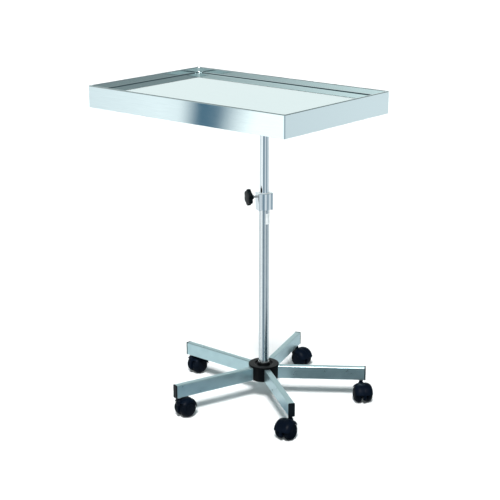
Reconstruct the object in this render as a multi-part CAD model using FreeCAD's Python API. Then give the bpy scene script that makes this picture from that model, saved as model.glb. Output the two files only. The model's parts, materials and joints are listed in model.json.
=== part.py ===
import FreeCAD, Part
import math
import os

# Instrument cart: a rectangular steel tray on a telescopic mast, over a five-arm base on casters.
# Millimetres, +Z up, floor at z = 0. +X runs along the tray's long side, towards the mast's end.
# The origin lies on the floor, below the middle of the whole cart's footprint.

V = FreeCAD.Vector
UP = V(0, 0, 1)

# Place of the mast axis
column_x = 73.0
column_y = -4.6

# Tray
tray_length = 600.0
tray_width = 395.0
tray_top_z = 765.0
skirt_height = 53.0
recess_depth = 14.0
rim_width = 5.5
sheet = 1.2
hem_width = 9.0
tray_corner_r = 3.0
recess_corner_r = 5.0
recess_floor_r = 3.0
rim_edge_r = 0.5
tray_overhang = 84.5

# Frame under the tray
rail_length = 470.0
rail_width = 25.0
rail_height = 12.0
rail_wall = 1.5
rail_spacing = 120.0
mast_plate_x = 150.0
mast_plate_y = 160.0
mast_plate_t = 4.0
plate_screw_dx = 110.0
plate_screw_r = 3.0
socket_r = 16.0
socket_height = 19.0
socket_screw_r = 3.0

# Mast tubes
upper_tube_r = 11.0
upper_tube_bore_r = 9.5
upper_tube_bottom_z = 250.3
lower_tube_r = 12.5
lower_tube_bore_r = 11.3
lower_tube_bottom_z = 62.0
running_gap = 0.05
glide_head_h = 12.0
glide_spigot_h = 18.0
glide_gap = 0.3

# Height clamp on the lower tube
clamp_bottom_z = 482.8
clamp_top_z = 523.8
clamp_collar_r = 17.0
clamp_boss_reach = 18.8
clamp_boss_width = 24.0
clamp_seat_h = 21.0
clamp_azimuth = 240.0
clamp_screw_z = 515.5
set_screw_z = 492.0
set_screw_r = 2.5
bush_lip = 0.6
stud_r = 3.0
pad_length = 2.9
pad_r = 2.8
stud_end = 39.0
knob_start = 28.5
knob_neck_end = 33.5
knob_end = 43.5
knob_r = 20.0
knob_neck_r = 7.0
knob_lobes = 6
knob_flute_r = 6.5
knob_flute_pitch_r = 24.0

# Blank label on the lower tube
label_bottom_z = 448.0
label_height = 26.0
label_half_angle = 34.0
label_thickness = 0.15
label_azimuth = 0.0

# Hub
hub_r = 36.5
hub_cover_r = 37.5
hub_cover_t = 4.8
hub_recess_r = 23.0
hub_recess_depth = 3.0
hub_collar_r = 15.5
hub_collar_h = 3.0
ferrule_r = 13.4
ferrule_h = 3.5
bolt_shank_r = 5.0
bolt_head_r = 8.5
bolt_head_h = 6.4
bolt_well_r = 11.0
bolt_well_top_z = 59.0
washer_t = 1.5
insert_top_z = 82.0
base_plate_r = 33.0
base_plate_t = 1.6

# Arms
arm_count = 5
arm_first_azimuth = 36.0
arm_height = 32.5
arm_width = 15.0
arm_wall = 1.5
arm_bottom_z = 52.5
arm_corner_r = 2.0
arm_start = 17.5
arm_end = 249.0
arm_screw_at = 25.0
arm_screw_r = 3.0
arm_screw_head_r = 5.0
arm_screw_head_h = 2.6
arm_screw_length = 12.0
end_cap_t = 3.0
end_cap_lip = 0.4
end_plug_length = 20.0

# Casters: the yaw is the direction in which each caster trails at rest
caster_stem_at = 241.0
caster_yaw = [320.0, 355.0, 78.0, 80.0, 275.0]
caster_trail = 18.0
wheel_r = 21.8
wheel_inner_y = 5.6
wheel_outer_y = 23.1
axle_r = 3.0
axle_half_length = 17.5
stem_lower_r = 2.8
stem_upper_r = 4.0
stem_bottom_z = 27.0
stem_top_z = 76.0
stem_flange_r = 6.0
stem_flange_t = 1.0
hood_outer_r = 26.4
hood_inner_r = 22.6
hood_lip_y = 21.8
hood_web_half = 4.8
hood_neck_r = 4.6
hood_neck_top_z = 51.1
hood_tail_angle = 8.0
hood_nose_angle = 140.0

tray_x = column_x - tray_overhang
tray_bottom_z = tray_top_z - skirt_height
recess_floor_z = tray_top_z - recess_depth
pan_underside_z = recess_floor_z - sheet
rail_bottom_z = pan_underside_z - rail_height
plate_bottom_z = rail_bottom_z - mast_plate_t
socket_bottom_z = plate_bottom_z - socket_height
arm_top_z = arm_bottom_z + arm_height
base_plate_z = arm_bottom_z - base_plate_t
hub_cover_top_z = arm_top_z + hub_cover_t
lower_tube_top_z = clamp_bottom_z + clamp_seat_h
bolt_clearance_r = bolt_shank_r + 0.4


def rod(radius, height, base, axis=UP):
    return Part.makeCylinder(radius, height, base, axis)


def tube(outer, inner, z0, z1, x=0.0, y=0.0):
    shell = rod(outer, z1 - z0, V(x, y, z0))
    return shell.cut(rod(inner, z1 - z0 + 2, V(x, y, z0 - 1)))


def block(lx, ly, lz, cx, cy, z0):
    return Part.makeBox(lx, ly, lz, V(cx - lx / 2, cy - ly / 2, z0))


def near(a, b, tol=1e-3):
    return abs(a - b) < tol


def is_vertical(edge):
    a, b = edge.Vertexes[0].Point, edge.Vertexes[-1].Point
    return near(a.x, b.x) and near(a.y, b.y) and not near(a.z, b.z)


def edges_at(shape, z):
    return [e for e in shape.Edges if near(e.BoundBox.ZMin, z) and near(e.BoundBox.ZMax, z)]


def rounded_block(lx, ly, lz, cx, cy, z0, r):
    solid = block(lx, ly, lz, cx, cy, z0)
    return solid.makeFillet(r, [e for e in solid.Edges if is_vertical(e)])


def turned(shape, angle, x=column_x, y=column_y):
    out = shape.copy()
    out.rotate(V(x, y, 0), UP, angle)
    return out


def from_mast(radius, azimuth):
    a = math.radians(azimuth)
    return column_x + radius * math.cos(a), column_y + radius * math.sin(a)


def revolve_y(points):
    """Solid of revolution about the Y axis, from (radius, y) points."""
    wire = Part.makePolygon([V(r, y, 0) for r, y in points + points[:1]])
    return Part.Face(wire).revolve(V(0, 0, 0), V(0, 1, 0), 360)


def save(name, shape):
    shape = shape.removeSplitter()
    if len(shape.Solids) == 1:
        shape = shape.Solids[0]
    if not shape.isValid():
        raise ValueError("invalid solid: " + name)
    shape.exportStep("parts/" + name + ".step")


def tray_pan():
    skirt = rounded_block(tray_length, tray_width, skirt_height,
                          tray_x, column_y, tray_bottom_z, tray_corner_r)
    hollow = rounded_block(tray_length - 2 * sheet, tray_width - 2 * sheet, skirt_height - sheet,
                           tray_x, column_y, tray_bottom_z, tray_corner_r - sheet)
    hem = rounded_block(tray_length - 1, tray_width - 1, sheet,
                        tray_x, column_y, tray_bottom_z, tray_corner_r - 0.5)
    hem = hem.cut(block(tray_length - 2 * hem_width, tray_width - 2 * hem_width, 3 * sheet,
                        tray_x, column_y, tray_bottom_z - sheet))
    inner_x = tray_length - 2 * rim_width
    inner_y = tray_width - 2 * rim_width
    dish = rounded_block(inner_x + 2 * sheet, inner_y + 2 * sheet, recess_depth + sheet - 0.5,
                         tray_x, column_y, pan_underside_z, recess_corner_r + sheet)
    dish = dish.makeFillet(recess_floor_r + sheet, edges_at(dish, pan_underside_z))
    space = rounded_block(inner_x, inner_y, recess_depth + 2,
                          tray_x, column_y, recess_floor_z, recess_corner_r)
    space = space.makeFillet(recess_floor_r, edges_at(space, recess_floor_z))
    pan = skirt.cut(hollow).fuse(hem).fuse(dish).cut(space).removeSplitter()
    pan = pan.makeFillet(rim_edge_r, edges_at(pan, tray_top_z))
    return pan


def tray_rail(side):
    y = column_y + side * rail_spacing / 2
    rail = block(rail_length, rail_width, rail_height, tray_x, y, rail_bottom_z)
    rail = rail.cut(block(rail_length + 2, rail_width - 2 * rail_wall, rail_height - 2 * rail_wall,
                          tray_x, y, rail_bottom_z + rail_wall))
    for x, screw_y in plate_screw_places():
        if near(screw_y, y):
            rail = rail.cut(rod(plate_screw_r, 2 * rail_wall, V(x, y, rail_bottom_z - 1)))
    return rail


def plate_screw_places():
    return [(column_x + i * plate_screw_dx / 2, column_y + j * rail_spacing / 2)
            for i in (-1, 1) for j in (-1, 1)]


def mast_plate():
    plate = rounded_block(mast_plate_x, mast_plate_y, mast_plate_t,
                          column_x, column_y, plate_bottom_z, 8.0)
    for x, y in plate_screw_places():
        plate = plate.cut(rod(plate_screw_r, mast_plate_t + 2, V(x, y, plate_bottom_z - 1)))
    return plate


def plate_screws():
    screws = []
    for x, y in plate_screw_places():
        head = Part.makeCone(4.2, 5.2, 3.2, V(x, y, plate_bottom_z - 3.2), UP)
        socket = rod(2.2, 2.0, V(x, y, plate_bottom_z - 3.3))
        shank = rod(plate_screw_r, mast_plate_t + 6, V(x, y, plate_bottom_z - 0.01))
        screws.append(head.cut(socket).fuse(shank))
    return Part.makeCompound(screws)


def mast_socket():
    socket = tube(socket_r, upper_tube_r, socket_bottom_z, plate_bottom_z, column_x, column_y)
    socket = socket.makeChamfer(1.0, edges_at(socket, socket_bottom_z)[:1])
    hole = rod(socket_screw_r, 2 * socket_r, socket_screw_base(), V(1, 0, 0))
    return socket.cut(hole)


def socket_screw_base():
    return V(column_x + upper_tube_r, column_y, (socket_bottom_z + plate_bottom_z) / 2)


def socket_screw():
    screw = rod(socket_screw_r, socket_r - upper_tube_r - 0.6, socket_screw_base(), V(1, 0, 0))
    key = rod(1.5, 2.5, socket_screw_base() + V(socket_r - upper_tube_r - 2.6, 0, 0), V(1, 0, 0))
    return screw.cut(key)


def glide_plug():
    head_top = upper_tube_bottom_z - glide_gap
    head = rod(lower_tube_bore_r - running_gap, glide_head_h,
               V(column_x, column_y, head_top - glide_head_h))
    head = head.makeChamfer(1.0, edges_at(head, head_top - glide_head_h))
    spigot = rod(upper_tube_bore_r - running_gap, glide_spigot_h, V(column_x, column_y, head_top))
    spigot = spigot.makeChamfer(1.0, edges_at(spigot, head_top + glide_spigot_h))
    return head.fuse(spigot)


def radial(shape_at_x, azimuth, z):
    """A shape built along +X from the origin, set radially from the mast axis at height z."""
    out = shape_at_x.copy()
    out.rotate(V(0, 0, 0), UP, azimuth)
    out.translate(V(column_x, column_y, z))
    return out


def clamp_block():
    height = clamp_top_z - clamp_bottom_z
    collar = rod(clamp_collar_r, height, V(0, 0, 0))
    boss = block(2 * clamp_boss_reach, clamp_boss_width, height, 0, 0, 0)
    boss = boss.makeFillet(2.5, [e for e in boss.Edges if is_vertical(e)])
    body = collar.fuse(boss).removeSplitter()
    body = body.makeFillet(1.2, edges_at(body, height) + edges_at(body, 0))
    body = body.cut(rod(lower_tube_r, height + 2, V(0, 0, -1)))
    body = body.cut(rod(stud_r + running_gap, 30, V(0, 0, clamp_screw_z - clamp_bottom_z), V(1, 0, 0)))
    body = body.cut(rod(set_screw_r, 30, V(0, 0, set_screw_z - clamp_bottom_z), V(-1, 0, 0)))
    return radial(body, clamp_azimuth, clamp_bottom_z)


def clamp_set_screw():
    length = clamp_boss_reach - lower_tube_r - 0.6
    screw = rod(set_screw_r, length, V(-clamp_boss_reach + 0.6, 0, 0), V(1, 0, 0))
    key = rod(1.25, 2.0, V(-clamp_boss_reach, 0, 0), V(1, 0, 0))
    return radial(screw.cut(key), clamp_azimuth, set_screw_z)


def guide_bush():
    bush = tube(lower_tube_r, upper_tube_r + running_gap, 0, clamp_top_z + bush_lip - lower_tube_top_z)
    hole = rod(stud_r + running_gap, 30, V(0, 0, clamp_screw_z - lower_tube_top_z), V(1, 0, 0))
    return radial(bush.cut(hole), clamp_azimuth, lower_tube_top_z)


def pressure_pad():
    face_r = upper_tube_r + running_gap
    pad = rod(pad_r, face_r + pad_length, V(0, 0, 0), V(1, 0, 0))
    pad = pad.cut(rod(face_r, 20, V(0, 0, -10)))
    return radial(pad, clamp_azimuth, clamp_screw_z)


def knob_stud():
    start = upper_tube_r + pad_length + 2 * running_gap
    stud = rod(stud_r, stud_end - start, V(start, 0, 0), V(1, 0, 0))
    return radial(stud, clamp_azimuth, clamp_screw_z)


def knob_grip():
    profile = [(knob_start, 0), (knob_start, 6.0), (knob_neck_end - 2.5, knob_neck_r),
               (knob_neck_end, knob_neck_r + 1.0), (knob_neck_end + 1.6, knob_r - 6.0),
               (knob_neck_end + 2.4, knob_r - 2.0), (knob_neck_end + 3.6, knob_r),
               (knob_end - 2.4, knob_r), (knob_end - 0.8, knob_r - 1.4), (knob_end, knob_r - 4.0),
               (knob_end + 1.6, knob_r * 0.4), (knob_end + 1.9, 0)]
    wire = Part.makePolygon([V(x, r, 0) for x, r in profile + profile[:1]])
    grip = Part.Face(wire).revolve(V(0, 0, 0), V(1, 0, 0), 360)
    for i in range(knob_lobes):
        a = 2 * math.pi * i / knob_lobes
        place = V(knob_neck_end + 0.8, knob_flute_pitch_r * math.cos(a), knob_flute_pitch_r * math.sin(a))
        grip = grip.cut(rod(knob_flute_r, 30, place, V(1, 0, 0)))
    grip = grip.cut(rod(stud_r, stud_end - knob_start + 1, V(knob_start - 1, 0, 0), V(1, 0, 0)))
    return radial(grip, clamp_azimuth, clamp_screw_z)


def blank_label():
    ring = tube(lower_tube_r + label_thickness, lower_tube_r, 0, label_height)
    a = math.radians(label_half_angle)
    reach = 30.0
    wedge = Part.makePolygon([V(0, 0, 0), V(reach, -reach * math.tan(a), 0),
                              V(reach, reach * math.tan(a), 0), V(0, 0, 0)])
    wedge = Part.Face(wedge).extrude(V(0, 0, label_height))
    return radial(ring.common(wedge), label_azimuth, label_bottom_z)


def hub_core():
    core = rod(hub_r, arm_height, V(column_x, column_y, arm_bottom_z))
    core = core.makeFillet(1.2, edges_at(core, arm_bottom_z))
    core = core.cut(rod(lower_tube_r, 60, V(column_x, column_y, lower_tube_bottom_z)))
    core = core.cut(rod(bolt_well_r, bolt_well_top_z - arm_bottom_z + 1,
                        V(column_x, column_y, arm_bottom_z - 1)))
    core = core.cut(rod(bolt_clearance_r, 30, V(column_x, column_y, arm_bottom_z)))
    pocket = block(hub_r, arm_width, arm_height + 2, column_x + arm_start + hub_r / 2, column_y,
                   arm_bottom_z - 1)
    for i in range(arm_count):
        core = core.cut(turned(pocket, arm_first_azimuth + 360.0 * i / arm_count))
    return core


def hub_cover():
    cover = rod(hub_cover_r, hub_cover_t, V(column_x, column_y, arm_top_z))
    cover = cover.makeFillet(1.5, edges_at(cover, hub_cover_top_z))
    recess = tube(hub_recess_r, hub_collar_r, hub_cover_top_z - hub_recess_depth,
                  hub_cover_top_z + 1, column_x, column_y)
    collar = rod(hub_collar_r, hub_cover_t + hub_collar_h, V(column_x, column_y, arm_top_z))
    collar = collar.makeFillet(0.8, edges_at(collar, hub_cover_top_z + hub_collar_h))
    cover = cover.cut(recess).fuse(collar)
    return cover.cut(rod(lower_tube_r, 20, V(column_x, column_y, arm_top_z - 1)))


def foot_ferrule():
    z0 = hub_cover_top_z + hub_collar_h
    ring = tube(ferrule_r, lower_tube_r, z0, z0 + ferrule_h, column_x, column_y)
    outer_top = [e for e in edges_at(ring, z0 + ferrule_h) if e.Curve.Radius > lower_tube_r + 0.1]
    return ring.makeFillet(0.6, outer_top)


def tube_insert():
    insert = rod(lower_tube_bore_r, insert_top_z - lower_tube_bottom_z,
                 V(column_x, column_y, lower_tube_bottom_z))
    return insert.cut(rod(bolt_shank_r, 40, V(column_x, column_y, lower_tube_bottom_z - 1)))


def column_bolt():
    washer_z = bolt_well_top_z - washer_t
    head_z = washer_z - bolt_head_h + 1.0
    head = rod(bolt_head_r, bolt_head_h - 1.0, V(column_x, column_y, head_z))
    head = head.makeFillet(0.8, edges_at(head, head_z))
    key = rod(4.0, 4.0, V(column_x, column_y, head_z - 1))
    washer = rod(10.0, washer_t, V(column_x, column_y, washer_z))
    shank = rod(bolt_shank_r, insert_top_z - washer_z - 2.0, V(column_x, column_y, washer_z))
    return head.cut(key).fuse(washer).fuse(shank)


def hub_base_plate():
    plate = rod(base_plate_r, base_plate_t, V(column_x, column_y, base_plate_z))
    plate = plate.makeFillet(0.5, edges_at(plate, base_plate_z))
    plate = plate.cut(rod(bolt_well_r, 4, V(column_x, column_y, base_plate_z - 1)))
    screw_hole = rod(arm_screw_r, 4, V(column_x + arm_screw_at, column_y, base_plate_z - 1))
    for i in range(arm_count):
        plate = plate.cut(turned(screw_hole, arm_first_azimuth + 360.0 * i / arm_count))
    return plate


def arm_screws():
    screws = []
    for i in range(arm_count):
        x = column_x + arm_screw_at
        head_z = base_plate_z - arm_screw_head_h
        head = rod(arm_screw_head_r, arm_screw_head_h, V(x, column_y, head_z))
        head = head.makeFillet(1.0, edges_at(head, head_z))
        head = head.cut(rod(2.0, 1.6, V(x, column_y, head_z - 0.1)))
        shank = rod(arm_screw_r, arm_screw_length, V(x, column_y, base_plate_z - 0.01))
        screws.append(turned(head.fuse(shank), arm_first_azimuth + 360.0 * i / arm_count))
    return Part.makeCompound(screws)


def is_along_x(edge):
    a, b = edge.Vertexes[0].Point, edge.Vertexes[-1].Point
    return near(a.y, b.y) and near(a.z, b.z) and not near(a.x, b.x)


def arm_bar(x0, x1, inset, corner):
    bar = Part.makeBox(x1 - x0, arm_width - 2 * inset, arm_height - 2 * inset,
                       V(column_x + x0, column_y - arm_width / 2 + inset, arm_bottom_z + inset))
    return bar.makeFillet(corner, [e for e in bar.Edges if is_along_x(e)])


def arm():
    bar = arm_bar(arm_start, arm_end, 0.0, arm_corner_r)
    bar = bar.cut(arm_bar(arm_start - 1, arm_end + 1, arm_wall, arm_corner_r / 2))
    bar = bar.cut(rod(arm_screw_r, 4, V(column_x + arm_screw_at, column_y, arm_bottom_z - 1)))
    return bar.cut(rod(stem_upper_r + 0.2, 4, V(column_x + caster_stem_at, column_y, arm_bottom_z - 1)))


def end_cap():
    head = arm_bar(arm_end, arm_end + end_cap_t, -end_cap_lip, arm_corner_r)
    face = [e for e in head.Edges if near(e.BoundBox.XMin, column_x + arm_end + end_cap_t)]
    head = head.makeFillet(0.8, face)
    plug = arm_bar(arm_end - end_plug_length, arm_end + 0.5, arm_wall, arm_corner_r / 2)
    stem_hole = rod(stem_upper_r, stem_top_z - arm_bottom_z,
                    V(column_x + caster_stem_at, column_y, arm_bottom_z))
    return head.fuse(plug).cut(stem_hole)


def caster_place(shape, index):
    """A caster piece built with its stem on the Z axis and trailing along +X, set on its arm."""
    x, y = from_mast(caster_stem_at, arm_first_azimuth + 360.0 * index / arm_count)
    out = shape.copy()
    out.rotate(V(0, 0, 0), UP, caster_yaw[index])
    out.translate(V(x, y, 0))
    return out


def caster_stem():
    upper = rod(stem_upper_r, stem_top_z - arm_bottom_z, V(0, 0, arm_bottom_z))
    upper = upper.makeChamfer(0.8, edges_at(upper, stem_top_z))
    flange = rod(stem_flange_r, stem_flange_t, V(0, 0, arm_bottom_z - stem_flange_t))
    lower = rod(stem_lower_r, arm_bottom_z - stem_bottom_z, V(0, 0, stem_bottom_z))
    return lower.fuse(flange).fuse(upper)


def caster_hood():
    # Half sections as (radius, sideways), from the crown down to the lip beside the wheel.
    outer = [(hood_outer_r, 11.5), (hood_outer_r - 0.6, 15.0), (hood_outer_r - 2.1, 18.0),
             (hood_outer_r - 4.2, 20.5), (hood_outer_r - 6.0, hood_lip_y)]
    inner = [(hood_inner_r, 14.0), (hood_inner_r - 0.5, 16.8), (hood_inner_r - 1.7, 19.1),
             (hood_inner_r - 3.2, hood_lip_y - 0.7)]
    half = outer + inner[::-1]
    fender = revolve_y(half + [(r, -y) for r, y in half[::-1]])
    low, high = math.radians(hood_tail_angle), math.radians(hood_nose_angle)
    reach = 60.0
    sector = Part.makePolygon([V(0, 0, 0), V(reach * math.cos(low), 0, reach * math.sin(low)),
                               V(reach, 0, reach), V(-reach, 0, reach),
                               V(reach * math.cos(high), 0, reach * math.sin(high)), V(0, 0, 0)])
    sector = Part.Face(sector).extrude(V(0, 60, 0))
    sector.translate(V(0, -30, 0))
    fender = fender.common(sector)
    fender.translate(V(caster_trail, 0, wheel_r))
    web = rod(hood_outer_r - 1.0, 2 * hood_web_half, V(caster_trail, -hood_web_half, wheel_r), V(0, 1, 0))
    web = web.cut(block(80, 40, 40, caster_trail, 0, wheel_r - 9 - 40))
    stem_web = block(13.0, 2 * hood_web_half, 22.0, 0.6, 0, 23.0)
    neck = rod(hood_neck_r, hood_neck_top_z - 38.0, V(0, 0, 38.0))
    neck = neck.makeFillet(0.8, edges_at(neck, hood_neck_top_z))
    hood = fender.fuse(web).fuse(stem_web).fuse(neck)
    hood = hood.cut(rod(stem_lower_r + running_gap, 40, V(0, 0, stem_bottom_z - 0.5)))
    return hood.cut(rod(axle_r, 60, V(caster_trail, -30, wheel_r), V(0, 1, 0)))


def caster_axle():
    pin = rod(axle_r, 2 * axle_half_length, V(caster_trail, -axle_half_length, wheel_r), V(0, 1, 0))
    return pin.makeChamfer(0.4, [e for e in pin.Edges if abs(e.BoundBox.YMax - e.BoundBox.YMin) < 0.01])


def caster_wheel(side):
    profile = [(0, axle_half_length + 0.3), (axle_r + running_gap, axle_half_length + 0.3),
               (axle_r + running_gap, wheel_inner_y), (wheel_r - 1.5, wheel_inner_y),
               (wheel_r - 0.4, wheel_inner_y + 0.5), (wheel_r, wheel_inner_y + 1.6),
               (wheel_r, wheel_outer_y - 10.1), (wheel_r - 0.6, wheel_outer_y - 7.1),
               (wheel_r - 1.9, wheel_outer_y - 4.6), (wheel_r - 3.8, wheel_outer_y - 2.6),
               (wheel_r - 6.3, wheel_outer_y - 1.2), (wheel_r - 8.4, wheel_outer_y - 0.7),
               (wheel_r - 8.7, wheel_outer_y - 1.5), (wheel_r - 9.7, wheel_outer_y - 1.5),
               (wheel_r - 10.0, wheel_outer_y - 0.5), (wheel_r - 15.0, wheel_outer_y - 0.1),
               (0, wheel_outer_y)]
    wheel = revolve_y([(r, side * y) for r, y in profile])
    wheel.translate(V(caster_trail, 0, wheel_r))
    return wheel


def build():
    os.makedirs("parts", exist_ok=True)
    save("tray_pan", tray_pan())
    save("tray_rail_front", tray_rail(-1))
    save("tray_rail_rear", tray_rail(1))
    save("mast_plate", mast_plate())
    save("plate_screws", plate_screws())
    save("mast_socket", mast_socket())
    save("socket_screw", socket_screw())
    save("upper_tube", tube(upper_tube_r, upper_tube_bore_r, upper_tube_bottom_z,
                            plate_bottom_z, column_x, column_y))
    save("glide_plug", glide_plug())
    save("guide_bush", guide_bush())
    save("clamp_block", clamp_block())
    save("clamp_set_screw", clamp_set_screw())
    save("pressure_pad", pressure_pad())
    save("knob_stud", knob_stud())
    save("knob_grip", knob_grip())
    save("lower_tube", tube(lower_tube_r, lower_tube_bore_r, lower_tube_bottom_z,
                            lower_tube_top_z, column_x, column_y))
    save("blank_label", blank_label())
    save("foot_ferrule", foot_ferrule())
    save("tube_insert", tube_insert())
    save("column_bolt", column_bolt())
    save("hub_core", hub_core())
    save("hub_cover", hub_cover())
    save("hub_base_plate", hub_base_plate())
    save("arm_screws", arm_screws())
    for i in range(arm_count):
        azimuth = arm_first_azimuth + 360.0 * i / arm_count
        save("arm_%d" % (i + 1), turned(arm(), azimuth))
        save("arm_%d_end_cap" % (i + 1), turned(end_cap(), azimuth))
        caster = "caster_%d_" % (i + 1)
        save(caster + "stem", caster_place(caster_stem(), i))
        save(caster + "hood", caster_place(caster_hood(), i))
        save(caster + "axle", caster_place(caster_axle(), i))
        save(caster + "wheel_left", caster_place(caster_wheel(1), i))
        save(caster + "wheel_right", caster_place(caster_wheel(-1), i))


build()
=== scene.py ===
import json
import math

import bmesh
import bpy
from mathutils import Matrix, Vector

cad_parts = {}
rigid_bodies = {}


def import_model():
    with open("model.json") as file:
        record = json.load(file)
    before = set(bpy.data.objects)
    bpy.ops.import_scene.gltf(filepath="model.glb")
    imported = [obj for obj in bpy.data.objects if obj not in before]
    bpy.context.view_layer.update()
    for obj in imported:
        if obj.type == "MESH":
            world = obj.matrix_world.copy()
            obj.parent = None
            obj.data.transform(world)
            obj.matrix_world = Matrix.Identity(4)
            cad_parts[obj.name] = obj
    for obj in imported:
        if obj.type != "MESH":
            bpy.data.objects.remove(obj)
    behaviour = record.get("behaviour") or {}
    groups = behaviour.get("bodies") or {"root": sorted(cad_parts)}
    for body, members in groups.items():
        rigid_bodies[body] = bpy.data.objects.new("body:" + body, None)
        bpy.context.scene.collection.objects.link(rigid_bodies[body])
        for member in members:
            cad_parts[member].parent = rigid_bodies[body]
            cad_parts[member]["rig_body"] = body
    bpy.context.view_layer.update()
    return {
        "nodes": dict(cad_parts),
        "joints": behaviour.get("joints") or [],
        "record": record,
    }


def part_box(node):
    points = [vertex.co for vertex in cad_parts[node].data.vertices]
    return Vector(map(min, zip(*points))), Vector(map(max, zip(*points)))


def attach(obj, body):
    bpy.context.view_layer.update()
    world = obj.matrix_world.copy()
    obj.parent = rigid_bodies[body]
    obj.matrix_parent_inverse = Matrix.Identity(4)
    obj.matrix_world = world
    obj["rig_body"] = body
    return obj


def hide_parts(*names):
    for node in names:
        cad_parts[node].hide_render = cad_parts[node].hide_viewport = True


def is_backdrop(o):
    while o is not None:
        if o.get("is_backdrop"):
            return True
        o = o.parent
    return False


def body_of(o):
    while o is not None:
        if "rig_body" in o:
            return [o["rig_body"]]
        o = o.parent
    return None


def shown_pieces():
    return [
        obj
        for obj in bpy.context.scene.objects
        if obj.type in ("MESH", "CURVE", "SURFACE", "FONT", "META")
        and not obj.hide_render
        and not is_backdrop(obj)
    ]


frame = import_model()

# Instrument cart: tray on a telescopic mast over a five-arm base. Metres, floor at z = 0.

NODES = frame["nodes"]
BODIES = frame["record"]["behaviour"]["bodies"]
ARMS = range(1, 6)
FIRST_ARM_TURN = math.radians(36)


# ---------------------------------------------------------------- node tree helpers

def link(tree, source, target):
    tree.links.new(source, target)


def add(tree, kind, inputs=None, **settings):
    """A node of that kind, with its settings, and its inputs set or linked."""
    node = tree.nodes.new(kind)
    for key, value in settings.items():
        setattr(node, key, value)
    for key, value in (inputs or {}).items():
        if isinstance(value, bpy.types.NodeSocket):
            link(tree, value, node.inputs[key])
        else:
            node.inputs[key].default_value = value
    return node


def math_node(tree, operation, a, b=0.0, c=0.0, clamp=False):
    node = add(tree, "ShaderNodeMath", operation=operation, use_clamp=clamp)
    for socket, value in zip(node.inputs, (a, b, c)):
        if isinstance(value, bpy.types.NodeSocket):
            link(tree, value, socket)
        else:
            socket.default_value = value
    return node.outputs[0]


def span(tree, value, low, high, to_low=0.0, to_high=1.0):
    """value stretched from low..high to to_low..to_high, and clamped."""
    node = add(tree, "ShaderNodeMapRange", {"Value": value, "From Min": low, "From Max": high,
                                            "To Min": to_low, "To Max": to_high})
    return node.outputs["Result"]


def mix_colour(tree, factor, a, b):
    node = add(tree, "ShaderNodeMix", data_type="RGBA")
    for socket, value in ((node.inputs[0], factor), (node.inputs[6], a), (node.inputs[7], b)):
        if isinstance(value, bpy.types.NodeSocket):
            link(tree, value, socket)
        else:
            socket.default_value = value
    return node.outputs[2]


def new_group(name, inputs, outputs):
    """An empty shader node group with those named sockets: (tree, its input node, its output node)."""
    tree = bpy.data.node_groups.new(name, "ShaderNodeTree")
    for label, kind, value in inputs:
        socket = tree.interface.new_socket(label, in_out="INPUT", socket_type=kind)
        socket.default_value = value
    for label, kind in outputs:
        tree.interface.new_socket(label, in_out="OUTPUT", socket_type=kind)
    return tree, tree.nodes.new("NodeGroupInput"), tree.nodes.new("NodeGroupOutput")


def place_group(tree, group, **values):
    node = tree.nodes.new("ShaderNodeGroup")
    node.node_tree = group
    for label, value in values.items():
        socket = node.inputs[label.replace("_", " ")]
        if isinstance(value, bpy.types.NodeSocket):
            link(tree, value, socket)
        else:
            socket.default_value = value
    return node


# ---------------------------------------------------------------- shared effects

def make_brushed_group():
    """Straight grinding lines: long thin streaks along one axis, with a slow change in shine."""
    tree, given, out = new_group(
        "brushed grain",
        [("Along", "NodeSocketVector", (1.0, 30.0, 30.0)), ("Scale", "NodeSocketFloat", 60.0),
         ("Rough", "NodeSocketFloat", 0.2), ("Spread", "NodeSocketFloat", 0.08)],
        [("Height", "NodeSocketFloat"), ("Roughness", "NodeSocketFloat"), ("Tone", "NodeSocketFloat")])
    where = add(tree, "ShaderNodeTexCoord").outputs["Object"]
    stretched = add(tree, "ShaderNodeVectorMath", operation="MULTIPLY")
    link(tree, where, stretched.inputs[0])
    link(tree, given.outputs["Along"], stretched.inputs[1])
    lines = add(tree, "ShaderNodeTexNoise", {"Vector": stretched.outputs[0], "Scale": given.outputs["Scale"],
                                             "Detail": 4.0, "Roughness": 0.6})
    cloud = add(tree, "ShaderNodeTexNoise", {"Vector": where, "Scale": 7.0, "Detail": 3.0})
    streak = span(tree, lines.outputs["Fac"], 0.3, 0.7)
    soft = span(tree, cloud.outputs["Fac"], 0.3, 0.7, -0.5, 0.5)
    change = math_node(tree, "ADD", math_node(tree, "SUBTRACT", streak, 0.5), soft)
    rough = math_node(tree, "MULTIPLY_ADD", change, given.outputs["Spread"], given.outputs["Rough"])
    link(tree, lines.outputs["Fac"], out.inputs["Height"])
    link(tree, rough, out.inputs["Roughness"])
    link(tree, streak, out.inputs["Tone"])
    return tree


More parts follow.
